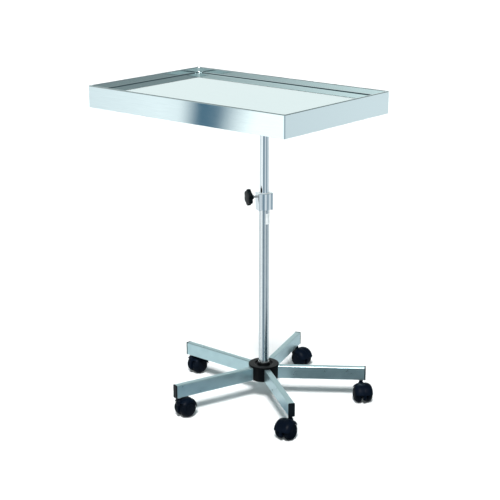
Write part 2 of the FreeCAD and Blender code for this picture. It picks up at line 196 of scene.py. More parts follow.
def make_wear_group():
    """Edges rubbed brighter, found from how sharply the surface turns."""
    tree, given, out = new_group(
        "edge wear",
        [("Width", "NodeSocketFloat", 0.0012), ("Amount", "NodeSocketFloat", 0.6),
         ("Patch Scale", "NodeSocketFloat", 90.0)],
        [("Mask", "NodeSocketFloat")])
    geometry = add(tree, "ShaderNodeNewGeometry")
    bevel = add(tree, "ShaderNodeBevel", {"Radius": given.outputs["Width"]}, samples=4)
    dot = add(tree, "ShaderNodeVectorMath", operation="DOT_PRODUCT")
    link(tree, geometry.outputs["Normal"], dot.inputs[0])
    link(tree, bevel.outputs[0], dot.inputs[1])
    edge = span(tree, dot.outputs["Value"], 0.98, 0.75)
    where = add(tree, "ShaderNodeTexCoord").outputs["Object"]
    patches = add(tree, "ShaderNodeTexNoise", {"Vector": where, "Scale": given.outputs["Patch Scale"],
                                               "Detail": 5.0, "Roughness": 0.65})
    worn = span(tree, patches.outputs["Fac"], 0.42, 0.62)
    rubbed = math_node(tree, "MULTIPLY", edge, worn)
    mask = math_node(tree, "MULTIPLY", rubbed, given.outputs["Amount"], clamp=True)
    link(tree, mask, out.inputs["Mask"])
    return tree


def make_moulded_group():
    """Fine spark-eroded texture of moulded plastic, with slow changes in shine."""
    tree, given, out = new_group(
        "moulded texture",
        [("Grain", "NodeSocketFloat", 1400.0), ("Rough", "NodeSocketFloat", 0.45),
         ("Spread", "NodeSocketFloat", 0.1)],
        [("Height", "NodeSocketFloat"), ("Roughness", "NodeSocketFloat"), ("Tone", "NodeSocketFloat")])
    where = add(tree, "ShaderNodeTexCoord").outputs["Object"]
    grain = add(tree, "ShaderNodeTexNoise", {"Vector": where, "Scale": given.outputs["Grain"], "Detail": 2.0})
    cloud = add(tree, "ShaderNodeTexNoise", {"Vector": where, "Scale": 35.0, "Detail": 4.0})
    tone = span(tree, cloud.outputs["Fac"], 0.3, 0.7)
    rough = math_node(tree, "MULTIPLY_ADD", math_node(tree, "SUBTRACT", tone, 0.5),
                      given.outputs["Spread"], given.outputs["Rough"])
    link(tree, grain.outputs["Fac"], out.inputs["Height"])
    link(tree, rough, out.inputs["Roughness"])
    link(tree, tone, out.inputs["Tone"])
    return tree


BRUSHED = make_brushed_group()
WEAR = make_wear_group()
MOULDED = make_moulded_group()


# ---------------------------------------------------------------- materials

def new_material(name, **constants):
    """(material, tree, principled shader) with constants set on the shader's own sockets."""
    material = bpy.data.materials.new(name)
    material.use_nodes = True
    tree = material.node_tree
    shader = tree.nodes["Principled BSDF"]
    for label, value in constants.items():
        shader.inputs[label.replace("_", " ")].default_value = value
    return material, tree, shader


def bump(tree, shader, height, strength, distance):
    node = add(tree, "ShaderNodeBump", {"Height": height, "Strength": strength, "Distance": distance})
    link(tree, node.outputs[0], shader.inputs["Normal"])


def brushed_metal(name, bright, dull, along, scale, rough, spread, strength=0.15, worn=0.5):
    """Metal ground in one direction: streaks change tone and shine, and a faint bump carries the lines."""
    material, tree, shader = new_material(name, Metallic=1.0)
    grain = place_group(tree, BRUSHED, Along=along, Scale=scale, Rough=rough, Spread=spread)
    wear = place_group(tree, WEAR, Width=0.0008, Amount=worn, Patch_Scale=120.0)
    tone = mix_colour(tree, grain.outputs["Tone"], dull + (1,), bright + (1,))
    tone = mix_colour(tree, wear.outputs["Mask"], tone, (0.95, 0.97, 0.97, 1))
    link(tree, tone, shader.inputs["Base Color"])
    link(tree, grain.outputs["Roughness"], shader.inputs["Roughness"])
    bump(tree, shader, grain.outputs["Height"], strength, 0.00005)
    return material


def moulded_plastic(name, colour, worn, rough, shine=0.2):
    """Black moulded plastic with a faint texture, dusty tone and rubbed edges."""
    material, tree, shader = new_material(name, Specular_IOR_Level=shine)
    texture = place_group(tree, MOULDED, Grain=1400.0, Rough=rough, Spread=0.1)
    wear = place_group(tree, WEAR, Width=0.001, Amount=0.45, Patch_Scale=220.0)
    lifted = tuple(c * 1.5 for c in colour)
    tone = mix_colour(tree, texture.outputs["Tone"], colour + (1,), lifted + (1,))
    tone = mix_colour(tree, wear.outputs["Mask"], tone, worn + (1,))
    link(tree, tone, shader.inputs["Base Color"])
    link(tree, texture.outputs["Roughness"], shader.inputs["Roughness"])
    bump(tree, shader, texture.outputs["Height"], 0.25, 0.00008)
    return material


def powder_coat(name, colour, shade, rough):
    """Satin metallic paint with orange peel and thin, brighter edges."""
    material, tree, shader = new_material(name, Metallic=0.9, Specular_IOR_Level=0.3)
    texture = place_group(tree, MOULDED, Grain=900.0, Rough=rough, Spread=0.08)
    wear = place_group(tree, WEAR, Width=0.0012, Amount=0.35, Patch_Scale=60.0)
    tone = mix_colour(tree, texture.outputs["Tone"], shade + (1,), colour + (1,))
    tone = mix_colour(tree, wear.outputs["Mask"], tone, (0.75, 0.82, 0.83, 1))
    link(tree, tone, shader.inputs["Base Color"])
    link(tree, texture.outputs["Roughness"], shader.inputs["Roughness"])
    bump(tree, shader, texture.outputs["Height"], 0.2, 0.0001)
    return material


MATERIALS = {
    "tray_steel": brushed_metal("brushed stainless sheet", (0.80, 0.91, 0.92), (0.73, 0.84, 0.86),
                                (0.6, 40.0, 40.0), 40.0, 0.05, 0.02, 0.04, worn=0.15),
    "under_frame_steel": brushed_metal("mill finish steel", (0.6, 0.62, 0.63), (0.48, 0.5, 0.51),
                                       (1.0, 12.0, 12.0), 60.0, 0.35, 0.12),
    "fastener_steel": brushed_metal("zinc plated steel", (0.62, 0.63, 0.62), (0.5, 0.51, 0.5),
                                    (8.0, 8.0, 8.0), 90.0, 0.3, 0.1),
    "mast_chrome": brushed_metal("polished mast tube", (0.84, 0.89, 0.91), (0.76, 0.82, 0.85),
                                 (40.0, 40.0, 0.5), 60.0, 0.05, 0.03, 0.04),
    "mast_satin_steel": brushed_metal("satin mast tube", (0.76, 0.8, 0.81), (0.64, 0.68, 0.7),
                                      (40.0, 40.0, 0.6), 60.0, 0.2, 0.08),
    "clamp_metal": brushed_metal("polished clamp casting", (0.88, 0.93, 0.95), (0.80, 0.86, 0.89),
                                 (5.0, 5.0, 20.0), 60.0, 0.05, 0.03, 0.05),
    "ferrule_chrome": brushed_metal("chrome ferrule", (0.86, 0.88, 0.89), (0.8, 0.82, 0.84),
                                    (5.0, 5.0, 40.0), 60.0, 0.08, 0.04, 0.05),
    "bush_plastic": moulded_plastic("bush plastic", (0.30, 0.31, 0.32), (0.5, 0.5, 0.5), 0.5, 0.5),
    "pad_brass": brushed_metal("turned brass", (0.72, 0.55, 0.27), (0.6, 0.44, 0.2),
                               (8.0, 8.0, 8.0), 90.0, 0.3, 0.1),
    "stud_steel": brushed_metal("turned stud steel", (0.6, 0.62, 0.63), (0.45, 0.47, 0.48),
                                (20.0, 20.0, 20.0), 60.0, 0.28, 0.1),
    "knob_plastic": moulded_plastic("knob plastic", (0.0008, 0.0022, 0.0032), (0.01, 0.014, 0.02),
                                    0.36, 0.08),
    "label_film": moulded_plastic("label film", (0.60, 0.63, 0.64), (0.9, 0.92, 0.92), 0.4, 0.5),
    "hub_plastic": moulded_plastic("hub plastic", (0.0006, 0.0010, 0.0014), (0.008, 0.012, 0.015),
                                   0.34, 0.09),
    "end_cap_plastic": moulded_plastic("end cap plastic", (0.002, 0.004, 0.006), (0.015, 0.02, 0.03),
                                       0.45, 0.1),
    "arm_coating": powder_coat("arm powder coat", (0.49, 0.66, 0.69), (0.43, 0.59, 0.62), 0.31),
    "caster_steel": brushed_metal("caster pin steel", (0.5, 0.51, 0.52), (0.4, 0.41, 0.42),
                                  (8.0, 8.0, 8.0), 90.0, 0.35, 0.1),
    "caster_hood_plastic": moulded_plastic("caster hood nylon", (0.0015, 0.0035, 0.008), (0.01, 0.015, 0.025),
                                           0.42, 0.04),
    "caster_wheel_plastic": moulded_plastic("caster wheel nylon", (0.0015, 0.003, 0.006), (0.01, 0.014, 0.022),
                                            0.46, 0.04),
}

SLOT_OF = {part["node"]: part["material_slot"] for part in frame["record"]["subparts"]}
for node_name, node in NODES.items():
    finish = MATERIALS[SLOT_OF[node_name]]
    node.data.materials.clear()
    node.data.materials.append(finish)


# ---------------------------------------------------------------- mesh helpers

SMOOTH_ANGLE = math.radians(32)
MAST_LOW, MAST_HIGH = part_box("lower_tube")
MAST = Vector(((MAST_LOW.x + MAST_HIGH.x) / 2, (MAST_LOW.y + MAST_HIGH.y) / 2, 0))


def body_of_node(node):
    return next(body for body, members in BODIES.items() if node in members)


def finish_piece(mesh, name, nodes=(), slot=None, body=None):
    """A mesh in the cart's frame becomes a piece with its finish and its body; the CAD nodes it stands for are
    hidden.
    """
    nodes = [nodes] if isinstance(nodes, str) else list(nodes)
    slot = slot or SLOT_OF[nodes[0]]
    mesh.materials.clear()
    mesh.materials.append(MATERIALS[slot])
    mesh.shade_smooth()
    mesh.set_sharp_from_angle(angle=SMOOTH_ANGLE)
    mesh = applied(mesh, name, "WEIGHTED_NORMAL", keep_sharp=True, weight=80)
    mesh.name = name
    piece = bpy.data.objects.new(name, mesh)
    bpy.context.scene.collection.objects.link(piece)
    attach(piece, body or body_of_node(nodes[0]))
    if nodes:
        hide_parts(*nodes)


def mesh_from(name, points, faces):
    mesh = bpy.data.meshes.new(name)
    mesh.from_pydata([tuple(p) for p in points], [], faces)
    return tidied(mesh)


def tidied(mesh, merge=1e-6):
    work = bmesh.new()
    work.from_mesh(mesh)
    bmesh.ops.remove_doubles(work, verts=work.verts, dist=merge)
    bmesh.ops.recalc_face_normals(work, faces=work.faces)
    work.to_mesh(mesh)
    work.free()
    return mesh


def rounded(points, radii, steps=5):
    """A run of 2-D points with each inner corner turned into a curve of about that radius."""
    if not isinstance(radii, (list, tuple)):
        radii = [radii] * len(points)
    out = [Vector(points[0])]
    for i in range(1, len(points) - 1):
        before, here, after = Vector(points[i - 1]), Vector(points[i]), Vector(points[i + 1])
        a, b = before - here, after - here
        size = min(radii[i], a.length * 0.49, b.length * 0.49)
        start, end = here + a.normalized() * size, here + b.normalized() * size
        for k in range(steps + 1):
            t = k / steps
            out.append(start * (1 - t) ** 2 + here * (2 * t * (1 - t)) + end * t ** 2)
    out.append(Vector(points[-1]))
    return out


def rounded_ring(points, radius, steps=4):
    """The same for a closed run: the first point is also the last."""
    middle = (Vector(points[0]) + Vector(points[1])) / 2
    return rounded([middle] + [Vector(p) for p in points[1:]] + [Vector(points[0]), middle], radius, steps)


def axes_for(axis):
    """A unit axis with two directions square to it."""
    axis = Vector(axis).normalized()
    side = Vector((0, 0, 1)).cross(axis)
    if side.length < 1e-3:
        side = Vector((1, 0, 0))
    side.normalize()
    return axis, side, axis.cross(side).normalized()


def lathe(name, profile, origin=(0, 0, 0), axis=(0, 0, 1), segments=96, radius_at=None):
    """A closed solid turned about an axis from (along, radius) points. The run starts and ends on the axis,
    or is a ring whose last point is its first."""
    origin = Vector(origin)
    axis, side, other = axes_for(axis)
    ring = (Vector(profile[0]) - Vector(profile[-1])).length < 1e-9
    rows = profile[:-1] if ring else profile
    points, faces, index = [], [], []
    for along, radius in rows:
        if radius < 1e-7:
            index.append([len(points)])
            points.append(origin + axis * along)
            continue
        row = []
        for k in range(segments):
            a = 2 * math.pi * k / segments
            r = radius if radius_at is None else radius_at(along, radius, a)
            row.append(len(points))
            points.append(origin + axis * along + (side * math.cos(a) + other * math.sin(a)) * r)
        index.append(row)
    pairs = list(zip(index, index[1:])) + ([(index[-1], index[0])] if ring else [])
    for low, high in pairs:
        for k in range(segments):
            n = (k + 1) % segments
            if len(low) == 1 and len(high) > 1:
                faces.append((low[0], high[k], high[n]))
            elif len(high) == 1 and len(low) > 1:
                faces.append((low[k], low[n], high[0]))
            elif len(low) > 1:
                faces.append((low[k], low[n], high[n], high[k]))
    return mesh_from(name, points, faces)


def skin(name, rows):
    """Faces between equal rows of points, each row a closed loop, and a face over each end."""
    count = len(rows[0])
    points = [p for row in rows for p in row]
    faces = []
    for i in range(len(rows) - 1):
        for k in range(count):
            n = (k + 1) % count
            faces.append((i * count + k, i * count + n, (i + 1) * count + n, (i + 1) * count + k))
    faces.append(tuple(range(count)))
    faces.append(tuple(reversed(range(len(points) - count, len(points)))))
    return mesh_from(name, points, faces)


def joined(name, meshes):
    """Several closed shells in one mesh."""
    work = bmesh.new()
    for mesh in meshes:
        work.from_mesh(mesh)
    out = bpy.data.meshes.new(name)
    work.to_mesh(out)
    work.free()
    return out


def placed(mesh, matrix):
    out = mesh.copy()
    out.transform(matrix)
    return out


def plain_mesh(carrier):
    """An object's mesh after its modifiers. The object itself is removed."""
    bpy.context.view_layer.update()
    shown = carrier.evaluated_get(bpy.context.evaluated_depsgraph_get())
    out = bpy.data.meshes.new_from_object(shown)
    bpy.data.objects.remove(carrier)
    return out


def applied(mesh, name, kind, **settings):
    """The mesh after one modifier, as a plain mesh."""
    carrier = bpy.data.objects.new(name, mesh)
    bpy.context.scene.collection.objects.link(carrier)
    modifier = carrier.modifiers.new(kind.lower(), kind)
    for key, value in settings.items():
        setattr(modifier, key, value)
    return plain_mesh(carrier)


def node_points(node):
    item = NODES[node]
    return [item.matrix_world @ v.co for v in item.data.vertices]


def reach(node, origin, axis):
    """How far a CAD node reaches along an axis (low, high), and its largest radius about it."""
    origin, axis = Vector(origin), Vector(axis).normalized()
    along, radius = [], []
    for p in node_points(node):
        h = (p - origin).dot(axis)
        along.append(h)
        radius.append((p - origin - axis * h).length)
    return min(along), max(along), max(radius)


def softened(name, node, width, segments=2, angle=35):
    """A piece shaped as a CAD node, with its sharp edges rounded off."""
    mesh = NODES[node].data.copy()
    mesh.transform(NODES[node].matrix_world)
    if mesh.has_custom_normals:
        mesh.normals_split_custom_set([(0, 0, 0)] * len(mesh.loops))
    work = bmesh.new()
    work.from_mesh(mesh)
    bmesh.ops.remove_doubles(work, verts=work.verts, dist=2e-6)
    bmesh.ops.dissolve_limit(work, angle_limit=math.radians(0.8), verts=work.verts, edges=work.edges)
    work.to_mesh(mesh)
    work.free()
    mesh = applied(mesh, name, "BEVEL", width=width, segments=segments, limit_method="ANGLE",
                   angle_limit=math.radians(angle), harden_normals=False, use_clamp_overlap=True)
    mesh.name = name
    finish_piece(tidied(mesh), name, node)


def joint(name):
    return next(j for j in frame["joints"] if j["name"] == name)


def outline(length, width, radius, steps=8):
    """Points of a rounded rectangle about the origin."""
    points = []
    for i, (sx, sy) in enumerate(((1, 1), (-1, 1), (-1, -1), (1, -1))):
        centre = Vector((sx * (length / 2 - radius), sy * (width / 2 - radius)))
        for k in range(steps + 1):
            a = math.pi / 2 * (i + k / steps)
            points.append(centre + Vector((math.cos(a), math.sin(a))) * radius)
    return points


# ---------------------------------------------------------------- repeated parts

def make_repeat_group(name, ring):
    """Geometry nodes that copy the mesh they are given round a ring, or over a grid."""
    tree = bpy.data.node_groups.new(name, "GeometryNodeTree")
    new_socket = tree.interface.new_socket
    new_socket("Geometry", in_out="INPUT", socket_type="NodeSocketGeometry")
    wanted = [("Count", "NodeSocketInt", 4), ("Radius", "NodeSocketFloat", 0.02),
              ("Turn", "NodeSocketFloat", 0.0)]
    if not ring:
        wanted = [("Count X", "NodeSocketInt", 2), ("Count Y", "NodeSocketInt", 2),
                  ("Size X", "NodeSocketFloat", 0.1), ("Size Y", "NodeSocketFloat", 0.1)]
    for label, kind, value in wanted + [("Spread", "NodeSocketFloat", 0.0)]:
        new_socket(label, in_out="INPUT", socket_type=kind).default_value = value
    new_socket("Centre", in_out="INPUT", socket_type="NodeSocketVector")
    new_socket("Material", in_out="INPUT", socket_type="NodeSocketMaterial")
    new_socket("Geometry", in_out="OUTPUT", socket_type="NodeSocketGeometry")
    given, out = tree.nodes.new("NodeGroupInput"), tree.nodes.new("NodeGroupOutput")
    if ring:
        places = add(tree, "GeometryNodeMeshCircle", {"Vertices": given.outputs["Count"],
                                                      "Radius": given.outputs["Radius"]})
    else:
        places = add(tree, "GeometryNodeMeshGrid", {
            "Vertices X": given.outputs["Count X"], "Vertices Y": given.outputs["Count Y"],
            "Size X": given.outputs["Size X"], "Size Y": given.outputs["Size Y"]})
    copies = add(tree, "GeometryNodeInstanceOnPoints", {"Points": places.outputs["Mesh"],
                                                        "Instance": given.outputs["Geometry"]})
    number = add(tree, "GeometryNodeInputIndex").outputs[0]
    angle = add(tree, "FunctionNodeRandomValue", {"ID": number, "Seed": 7}, data_type="FLOAT")
    angle.inputs[2].default_value, angle.inputs[3].default_value = -1.0, 1.0
    turn = math_node(tree, "MULTIPLY", angle.outputs[1], given.outputs["Spread"])
    if ring:
        step = math_node(tree, "DIVIDE", 2 * math.pi, given.outputs["Count"])
        turn = math_node(tree, "ADD", turn, math_node(tree, "MULTIPLY", number, step))
    spun = add(tree, "ShaderNodeCombineXYZ", {"Z": turn})
    link(tree, spun.outputs[0], copies.inputs["Rotation"])
    whole = copies.outputs["Instances"]
    if ring:
        whole_turn = add(tree, "ShaderNodeCombineXYZ", {"Z": given.outputs["Turn"]})
        turned = add(tree, "GeometryNodeTransform", {"Geometry": whole, "Rotation": whole_turn.outputs[0]})
        whole = turned.outputs[0]
    moved = add(tree, "GeometryNodeTransform", {"Geometry": whole, "Translation": given.outputs["Centre"]})
    real = add(tree, "GeometryNodeRealizeInstances", {"Geometry": moved.outputs[0]})
    dressed = add(tree, "GeometryNodeSetMaterial", {"Geometry": real.outputs[0],
                                                    "Material": given.outputs["Material"]})
    link(tree, dressed.outputs[0], out.inputs["Geometry"])
    return tree


RING = make_repeat_group("copies in a ring", True)
GRID = make_repeat_group("copies in a grid", False)


def repeated(name, mesh, group, slot, **values):
    """The mesh copied by one of the groups above, as a plain mesh."""
    carrier = bpy.data.objects.new(name, mesh)
    bpy.context.scene.collection.objects.link(carrier)
    modifier = carrier.modifiers.new("copies", "NODES")
    modifier.node_group = group
    values["Material"] = MATERIALS[slot]
    for item in group.interface.items_tree:
        label = item.name.replace(" ", "_")
        if item.in_out == "INPUT" and label in values:
            modifier[item.identifier] = values[label]
    out = plain_mesh(carrier)
    out.name = name
    return out


def socket_screw_mesh(name, head_low, head_high, head_r, shank_top, shank_r, key_r, key_depth):
    """A button-head screw pointing up, head at the bottom, with a six-sided key hole. Axis on Z."""
    turns = [2 * math.pi * k / 48 for k in range(48)]
    hexagon = []
    for a in turns:
        edge = (a + math.pi / 6) % (math.pi / 3) - math.pi / 6
        hexagon.append(key_r * math.cos(math.pi / 6) / math.cos(edge))
    head = rounded([(head_low, key_r * 1.12), (head_low + 0.0001, head_r * 0.72),
                    (head_low + (head_high - head_low) * 0.4, head_r), (head_high, head_r),
                    (head_high, shank_r)], [0, 0.0012, 0.0012, 0.0002, 0], 4)
    shank = [(shank_top - shank_r * 0.3, shank_r), (shank_top, shank_r * 0.75)]
    levels = [(head_low + key_depth, hexagon), (head_low, hexagon)]
    levels += [(z, [r] * len(turns)) for z, r in head + shank]
    return skin(name, [[Vector((r * math.cos(a), r * math.sin(a), z)) for r, a in zip(radii, turns)]
                       for z, radii in levels])


# ---------------------------------------------------------------- tray

SHEET = 0.0012
RIM_WIDTH, RECESS_DEPTH, HEM_WIDTH = 0.0055, 0.014, 0.009
SKIRT_CORNER, RECESS_CORNER, FLOOR_ROUND = 0.003, 0.005, 0.003
SHARPEST_CORNER = 0.0008
TRAY_LOW, TRAY_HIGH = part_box("tray_pan")
TRAY_MIDDLE = (TRAY_LOW + TRAY_HIGH) / 2


def make_tray():
    """One folded sheet: floor, recess wall, rim, outer skirt and a flattened hem along its foot."""
    length, width = TRAY_HIGH.x - TRAY_LOW.x, TRAY_HIGH.y - TRAY_LOW.y
    top, foot = TRAY_HIGH.z, TRAY_LOW.z
    floor = top - RECESS_DEPTH
    well = RIM_WIDTH + 2.5 * FLOOR_ROUND
    section = rounded(
        [(well, floor), (RIM_WIDTH, floor), (RIM_WIDTH, top), (0.0, top), (0.0, foot), (HEM_WIDTH, foot),
         (HEM_WIDTH, foot + SHEET * 1.6), (SHEET, foot + SHEET * 1.6), (SHEET, top - SHEET),
         (RIM_WIDTH - SHEET, top - SHEET), (RIM_WIDTH - SHEET, floor - SHEET), (well, floor - SHEET)],
        [0, FLOOR_ROUND, 0.0024, 0.0024, 0.0009, 0.0008, 0.0008, 0.0004, 0.0012, 0.0012,
         FLOOR_ROUND + SHEET, 0], 5)
    rows = []
    for inset, z in section:
        corner = SKIRT_CORNER - inset
        if inset > RIM_WIDTH - SHEET - 1e-5:
            corner = RECESS_CORNER + RIM_WIDTH - inset
        corner = max(corner, SHARPEST_CORNER)
        rows.append([(TRAY_MIDDLE.x + p.x, TRAY_MIDDLE.y + p.y, z)
                     for p in outline(length - 2 * inset, width - 2 * inset, corner)])
    finish_piece(skin("tray_sheet", rows), "tray_sheet", "tray_pan")


def bead_mesh(name, length, width, ripples):
    """A stitch of weld along X: a low ridge with overlapping ripples, flattened below."""
    rows = []
    steps = ripples * 6
    for i in range(steps + 1):
        t = i / steps
        swell = math.sin(math.pi * min(max(t, 0.02), 0.98)) ** 0.35
        ripple = 1 - 0.16 * abs(math.sin(math.pi * ripples * t))
        rows.append([Vector(((t - 0.5) * length, width / 2 * swell * ripple * math.cos(a),
                             width / 2 * swell * ripple * math.sin(a) * 0.8))
                     for a in [2 * math.pi * k / 12 for k in range(12)]])
    return skin(name, rows)


def make_under_tray():
    """Rails, mast plate and socket under the tray, with their stitches of weld."""
    for side in ("front", "rear"):
        softened("tray_rail_" + side + "_soft", "tray_rail_" + side, 0.0006, 3)
        low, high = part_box("tray_rail_" + side)
        bead = bead_mesh("rail_stitch", 0.016, 0.0026, 5)
        stitches = repeated("rail_stitches_" + side, bead, GRID, "under_frame_steel", Count_X=6, Count_Y=2,
                            Size_X=(high.x - low.x) * 0.86, Size_Y=high.y - low.y + 0.0006, Spread=0.02,
                            Centre=((low.x + high.x) / 2, (low.y + high.y) / 2, high.z - 0.0006))
        finish_piece(stitches, "rail_stitches_" + side, slot="under_frame_steel", body="tray")
    softened("mast_plate_soft", "mast_plate", 0.0005, 2)
    low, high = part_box("mast_socket")
    outer = (high.x - low.x) / 2
    bore = reach("upper_tube", MAST, (0, 0, 1))[2] + 0.00005
    section = rounded_ring([(high.z, bore), (low.z, bore), (low.z, outer), (high.z, outer)], 0.001)
    finish_piece(lathe("socket_ring", section, MAST), "socket_ring", "mast_socket")
    section = [(high.z - 0.0022 + 0.0022 * (1 - math.cos(a)) * 0.5, outer - 0.0006 + 0.0022 * math.sin(a))
               for a in [math.pi * k / 10 for k in range(11)]]
    section += [section[0]]

    def rippled(along, r, angle):
        return r + 0.00035 * abs(math.sin(26 * angle)) * (1 if r > outer else 0)

    finish_piece(lathe("socket_weld", section, MAST, segments=208, radius_at=rippled), "socket_weld",
                 slot="under_frame_steel", body="tray")
    low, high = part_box("plate_screws")
    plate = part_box("mast_plate")
    screw = socket_screw_mesh("plate_screw", low.z, plate[0].z, 0.0052, high.z, 0.003, 0.0022, 0.002)
    spread = high - low
    screws = repeated("plate_screw_set", screw, GRID, "fastener_steel", Count_X=2, Count_Y=2,
                      Size_X=spread.x - 0.0104, Size_Y=spread.y - 0.0104, Spread=0.5,
                      Centre=((low.x + high.x) / 2, (low.y + high.y) / 2, 0))
    finish_piece(screws, "plate_screw_set", "plate_screws")


# ---------------------------------------------------------------- mast

TUBE_WALLS = {"upper_tube": 0.0015, "lower_tube": 0.0012}


def make_mast():
    """The two drawn tubes, the clamp block and the ferrule at the mast's foot."""
    for node, wall in TUBE_WALLS.items():
        low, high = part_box(node)
        outer = (high.x - low.x) / 2
        inner = outer - wall
        section = rounded_ring([(low.z, outer), (high.z, outer), (high.z, inner), (low.z, inner)], 0.0003, 3)
        finish_piece(lathe(node + "_drawn", section, MAST, segments=128), node + "_drawn", node)
    softened("clamp_block_soft", "clamp_block", 0.0003, 2, 50)
    low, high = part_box("foot_ferrule")
    outer, bore = (high.x - low.x) / 2, reach("lower_tube", MAST, (0, 0, 1))[2]
    section = rounded_ring([(low.z, bore), (low.z, outer), (high.z - 0.0004, outer), (high.z, outer - 0.0003),
                            (high.z, bore)], 0.0004)
    finish_piece(lathe("foot_ring", section, MAST), "foot_ring", "foot_ferrule")


def rod_with_thread(name, start, end, radius, origin, axis, pitch, depth):
    """A closed rod with a helical thread that fades out towards both ends."""
    rows = int((end - start) / (pitch / 8))
    side = [(start + (end - start) * i / rows, radius) for i in range(rows + 1)]
    profile = [(start, 0.0)] + side + [(end, 0.0)]

    def cut(along, r, angle):
        fade = max(0.0, min(1.0, (along - start) / pitch, (end - along) / pitch))
        wave = abs(((along / pitch - angle / (2 * math.pi)) % 1.0) * 2 - 1)
        return r - depth * (1 - wave * fade)

    return lathe(name, profile, origin, axis, 32, cut)


def make_knob():
    """Star grip on a threaded stud: a neck that swells into rounded lobes under a shallow domed end."""
    turn = joint("clamp_knob_turn")
    axis = Vector(turn["axis"])
    origin = Vector((MAST.x, MAST.y, turn["pos_m"][2]))
    near, far, radius = reach("knob_grip", origin, axis)
    start, end, stud = reach("knob_stud", origin, axis)
    neck = 0.007
    profile = rounded(
        [(end, 0.0), (end, stud), (near, stud), (near, neck - 0.0012), (near + 0.0035, neck),
         (near + 0.0058, neck + 0.005), (near + 0.0070, radius), (far - 0.0026, radius),
         (far - 0.0011, radius * 0.93), (far, radius * 0.45), (far, 0.0)],
        [0, 0.0002, 0.0005, 0.001, 0.002, 0.003, 0.0016, 0.0018, 0.002, 0.004, 0], 7)
    head = near + 0.0045

    def lobed(along, r, angle):
        if r < neck + 0.0008 or along < head:
            return r
        reach_out = min(1.0, (r - neck) / (radius - neck))
        valley = (0.5 + 0.5 * math.cos(6 * angle)) ** 1.4
        return r * (1 - 0.17 * reach_out ** 1.5 * valley)

    finish_piece(lathe("star_grip", profile, origin, axis, 216, lobed), "star_grip", "knob_grip")
    bush = rounded_ring([(near - 0.0008, stud + 0.0001), (near - 0.0008, stud + 0.0018),
                         (near + 0.002, stud + 0.0018), (near + 0.002, stud + 0.0001)], 0.0003)
    finish_piece(lathe("grip_bush", bush, origin, axis, 48), "grip_bush", slot="stud_steel", body="clamp_knob")
    finish_piece(rod_with_thread("threaded_stud", start, end, stud, origin, axis, 0.001, 0.0004),
                 "threaded_stud", "knob_stud")


# ---------------------------------------------------------------- hub and arms

def make_hub():
    """Core, cover disc, base plate and arm screws, then the five arms with their end caps."""
    softened("hub_core_soft", "hub_core", 0.0006, 3)
    softened("hub_base_plate_soft", "hub_base_plate", 0.0003, 2)
    low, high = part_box("hub_cover")
    edge = (high.x - low.x) / 2
    brim = low.z + 0.0048
    bore = reach("lower_tube", MAST, (0, 0, 1))[2]
    section = rounded(
        [(low.z, edge - 0.006), (low.z, edge), (brim, edge), (brim, 0.023), (brim - 0.003, 0.0215),
         (brim - 0.003, 0.0165), (high.z, 0.0152), (high.z, bore), (low.z, bore), (low.z, edge - 0.006)],
        [0, 0.0007, 0.0014, 0.0012, 0.0012, 0.0012, 0.0009, 0.0003, 0.0003, 0], 6)
    section[-1] = section[0]
    finish_piece(lathe("hub_cover_turned", section, MAST, segments=160), "hub_cover_turned", "hub_cover")
    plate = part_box("hub_base_plate")
    low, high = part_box("arm_screws")
    radius = max((Vector((p.x, p.y, 0)) - MAST).length for p in node_points("arm_screws")) - 0.005
    screw = socket_screw_mesh("arm_screw", low.z, plate[0].z, 0.005, high.z, 0.003, 0.0022, 0.0016)
    screws = repeated("arm_screw_set", screw, RING, "fastener_steel", Count=len(ARMS), Radius=radius,
                      Turn=FIRST_ARM_TURN, Spread=0.5, Centre=(MAST.x, MAST.y, 0))
    finish_piece(screws, "arm_screw_set", "arm_screws")
    for i in ARMS:
        softened("arm_%d_soft" % i, "arm_%d" % i, 0.0003, 2, 60)
        softened("arm_%d_end_cap_soft" % i, "arm_%d_end_cap" % i, 0.0005, 2, 40)


# ---------------------------------------------------------------- casters

HOOD_REACH = 0.0264


def caster_place(number):
    """(matrix from a caster's own frame to the cart's, trail, axle height). Stem on Z, trailing along +X."""
    swivel, spin = joint("caster_%d_swivel" % number), joint("caster_%d_left_spin" % number)
    stem = Vector((swivel["pos_m"][0], swivel["pos_m"][1], 0))
    axle = Vector((spin["pos_m"][0], spin["pos_m"][1], 0))
    forward = (axle - stem).normalized()
    sideways = Vector((0, 0, 1)).cross(forward)
    matrix = Matrix(((forward.x, sideways.x, 0, stem.x), (forward.y, sideways.y, 0, stem.y),
                     (0, 0, 1, 0), (0, 0, 0, 1)))
    return matrix, (axle - stem).length, spin["pos_m"][2]


